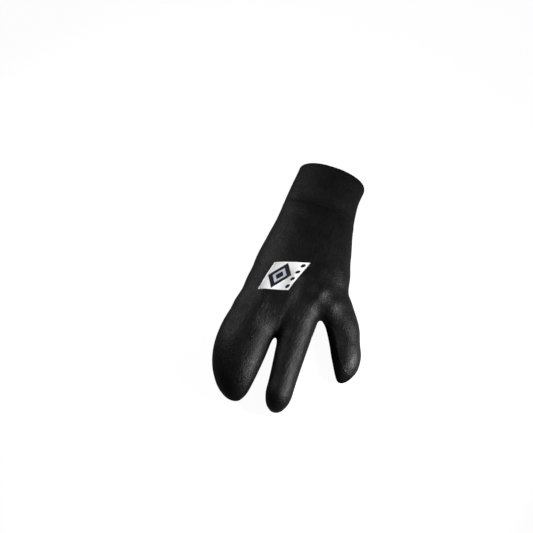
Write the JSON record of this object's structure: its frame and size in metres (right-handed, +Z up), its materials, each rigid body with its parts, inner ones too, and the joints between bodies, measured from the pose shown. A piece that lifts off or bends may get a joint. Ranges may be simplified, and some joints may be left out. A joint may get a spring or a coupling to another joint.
{
  "type": "lobster wetsuit mitt",
  "caption": "Right-hand lobster wetsuit mitt in padded neoprene, with a wide finger pocket, a separate index finger, a thumb and a wrist cuff, lying palm down",
  "frame": {"origin": "the middle of the bounding box in plan, on the surface that the palm side rests on", "axes": "+Y runs from the fingertips to the cuff's opening, +X to the thumb's side, +Z up out of the back of the hand"},
  "size_m": [0.1525, 0.2962, 0.0495],
  "materials": {
    "smooth_skin": "satin",
    "grip_skin": "matte",
    "cuff_skin": "satin",
    "silver_print": "satin"
  },
  "bodies": {
    "root": {"back_panel": "smooth_skin", "palm_panel": "grip_skin", "cuff": "cuff_skin", "printed_patch": "silver_print"}
  },
  "joints": []
}
